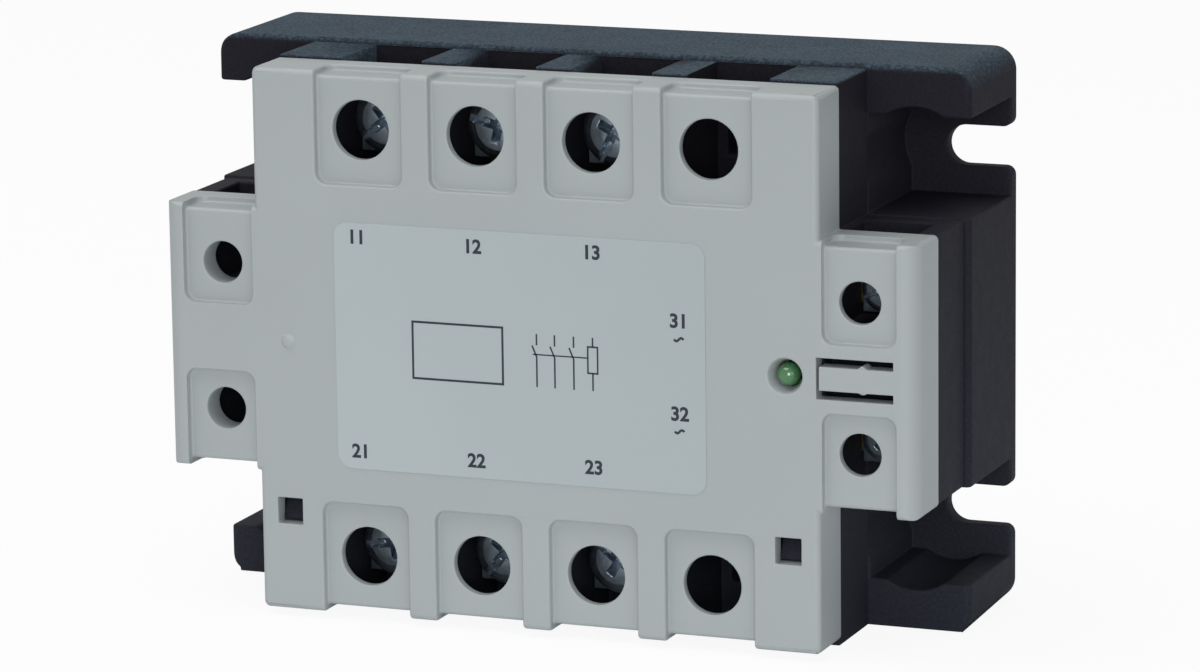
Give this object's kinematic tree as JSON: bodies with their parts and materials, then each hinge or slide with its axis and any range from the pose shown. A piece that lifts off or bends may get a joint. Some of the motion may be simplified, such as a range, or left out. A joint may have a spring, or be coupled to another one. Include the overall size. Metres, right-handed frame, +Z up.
{
  "type": "solid state relay",
  "caption": "Panel-mounted solid state relay: black base with slotted flanges, grey clip-on cover, screw clamp terminals, indicator.",
  "frame": {"origin": "centre of the rear mounting face of the metal plate", "axes": "+Z up as the relay stands in the picture, +X to the right seen from the front, +Y out of the mounting face, towards the heatsink"},
  "size_m": [0.1044, 0.0396, 0.0734],
  "materials": {
    "black_moulding": "fine-grained moulded plastic",
    "nickel_plate": "nickel-plated, satin",
    "grey_cover": "light grey moulded plastic, satin",
    "label_film": "printed film, satin",
    "circuit_board": "green solder mask",
    "green_lens": "tinted clear lens",
    "chip_package": "moulded epoxy",
    "blue_coating": "dipped coating",
    "resistor_body": "lacquered",
    "capacitor_sleeve": "shrink sleeve",
    "ceramic_substrate": "copper-faced alumina",
    "silicon_die": "passivated silicon",
    "bare_copper": "rolled copper",
    "terminal_brass": "rolled brass",
    "plated_steel": "blue-white zinc plate"
  },
  "bodies": {
    "housing": {"base_plate": "nickel_plate", "base_frame": "black_moulding", "terminal_block": "black_moulding", "control_board": "circuit_board", "status_led": "green_lens", "optocouplers": "chip_package", "varistors": "blue_coating", "gate_resistors": "resistor_body", "input_capacitor": "capacitor_sleeve", "input_rectifier": "chip_package", "input_resistors": "resistor_body", "gate_pins": "bare_copper", "substrate_1": "ceramic_substrate", "substrate_2": "ceramic_substrate", "substrate_3": "ceramic_substrate", "thyristors_1": "silicon_die", "thyristors_2": "silicon_die", "thyristors_3": "silicon_die", "line_busbar_1": "bare_copper", "line_busbar_2": "bare_copper", "line_busbar_3": "bare_copper", "load_busbar_1": "bare_copper", "load_busbar_2": "bare_copper", "load_busbar_3": "bare_copper", "power_nuts": "plated_steel", "control_nuts": "plated_steel", "control_terminal_1": "terminal_brass", "control_terminal_2": "terminal_brass"},
    "cover": {"front_cover": "grey_cover", "label": "label_film"},
    "line_clamp_1": {"line_clamp_1": "plated_steel"},
    "line_screw_1": {"line_screw_1": "plated_steel"},
    "line_clamp_2": {"line_clamp_2": "plated_steel"},
    "line_screw_2": {"line_screw_2": "plated_steel"},
    "line_clamp_3": {"line_clamp_3": "plated_steel"},
    "line_screw_3": {"line_screw_3": "plated_steel"},
    "load_clamp_1": {"load_clamp_1": "plated_steel"},
    "load_screw_1": {"load_screw_1": "plated_steel"},
    "load_clamp_2": {"load_clamp_2": "plated_steel"},
    "load_screw_2": {"load_screw_2": "plated_steel"},
    "load_clamp_3": {"load_clamp_3": "plated_steel"},
    "load_screw_3": {"load_screw_3": "plated_steel"},
    "control_clamp_1": {"control_clamp_1": "plated_steel"},
    "control_screw_1": {"control_screw_1": "plated_steel"},
    "control_clamp_2": {"control_clamp_2": "plated_steel"},
    "control_screw_2": {"control_screw_2": "plated_steel"}
  },
  "joints": [
    {"name": "cover_lift", "type": "slide", "parent": "housing", "child": "cover", "axis": [0, -1, 0], "range_m": [0, 0.03]},
    {"name": "line_clamp_1_travel", "type": "slide", "parent": "housing", "child": "line_clamp_1", "axis": [0, 1, 0], "range_m": [0, 0.0041]},
    {"name": "line_screw_1_turn", "type": "hinge", "parent": "line_clamp_1", "child": "line_screw_1", "pos_m": [-0.02378, -0.027, 0.0281], "axis": [0, 1, 0], "range_deg": [0, 1846]},
    {"name": "line_clamp_2_travel", "type": "slide", "parent": "housing", "child": "line_clamp_2", "axis": [0, 1, 0], "range_m": [0, 0.0041]},
    {"name": "line_screw_2_turn", "type": "hinge", "parent": "line_clamp_2", "child": "line_screw_2", "pos_m": [-0.00792, -0.027, 0.0281], "axis": [0, 1, 0], "range_deg": [0, 1846]},
    {"name": "line_clamp_3_travel", "type": "slide", "parent": "housing", "child": "line_clamp_3", "axis": [0, 1, 0], "range_m": [0, 0.0041]},
    {"name": "line_screw_3_turn", "type": "hinge", "parent": "line_clamp_3", "child": "line_screw_3", "pos_m": [0.00792, -0.027, 0.0281], "axis": [0, 1, 0], "range_deg": [0, 1846]},
    {"name": "load_clamp_1_travel", "type": "slide", "parent": "housing", "child": "load_clamp_1", "axis": [0, 1, 0], "range_m": [0, 0.0041]},
    {"name": "load_screw_1_turn", "type": "hinge", "parent": "load_clamp_1", "child": "load_screw_1", "pos_m": [-0.02378, -0.027, -0.0281], "axis": [0, 1, 0], "range_deg": [0, 1846]},
    {"name": "load_clamp_2_travel", "type": "slide", "parent": "housing", "child": "load_clamp_2", "axis": [0, 1, 0], "range_m": [0, 0.0041]},
    {"name": "load_screw_2_turn", "type": "hinge", "parent": "load_clamp_2", "child": "load_screw_2", "pos_m": [-0.00792, -0.027, -0.0281], "axis": [0, 1, 0], "range_deg": [0, 1846]},
    {"name": "load_clamp_3_travel", "type": "slide", "parent": "housing", "child": "load_clamp_3", "axis": [0, 1, 0], "range_m": [0, 0.0041]},
    {"name": "load_screw_3_turn", "type": "hinge", "parent": "load_clamp_3", "child": "load_screw_3", "pos_m": [0.00792, -0.027, -0.0281], "axis": [0, 1, 0], "range_deg": [0, 1846]},
    {"name": "control_clamp_1_travel", "type": "slide", "parent": "housing", "child": "control_clamp_1", "axis": [0, 1, 0], "range_m": [0, 0.0024]},
    {"name": "control_screw_1_turn", "type": "hinge", "parent": "control_clamp_1", "child": "control_screw_1", "pos_m": [0.0437, -0.027, 0.0097], "axis": [0, 1, 0], "range_deg": [0, 1729]},
    {"name": "control_clamp_2_travel", "type": "slide", "parent": "housing", "child": "control_clamp_2", "axis": [0, 1, 0], "range_m": [0, 0.0024]},
    {"name": "control_screw_2_turn", "type": "hinge", "parent": "control_clamp_2", "child": "control_screw_2", "pos_m": [0.0437, -0.027, -0.0097], "axis": [0, 1, 0], "range_deg": [0, 1729]}
  ],
  "couplings": [
    {"joint": "line_screw_1_turn", "follows": "line_clamp_1_travel", "rad_per_m": 7854},
    {"joint": "line_screw_2_turn", "follows": "line_clamp_2_travel", "rad_per_m": 7854},
    {"joint": "line_screw_3_turn", "follows": "line_clamp_3_travel", "rad_per_m": 7854},
    {"joint": "load_screw_1_turn", "follows": "load_clamp_1_travel", "rad_per_m": 7854},
    {"joint": "load_screw_2_turn", "follows": "load_clamp_2_travel", "rad_per_m": 7854},
    {"joint": "load_screw_3_turn", "follows": "load_clamp_3_travel", "rad_per_m": 7854},
    {"joint": "control_screw_1_turn", "follows": "control_clamp_1_travel", "rad_per_m": 12566},
    {"joint": "control_screw_2_turn", "follows": "control_clamp_2_travel", "rad_per_m": 12566}
  ]
}
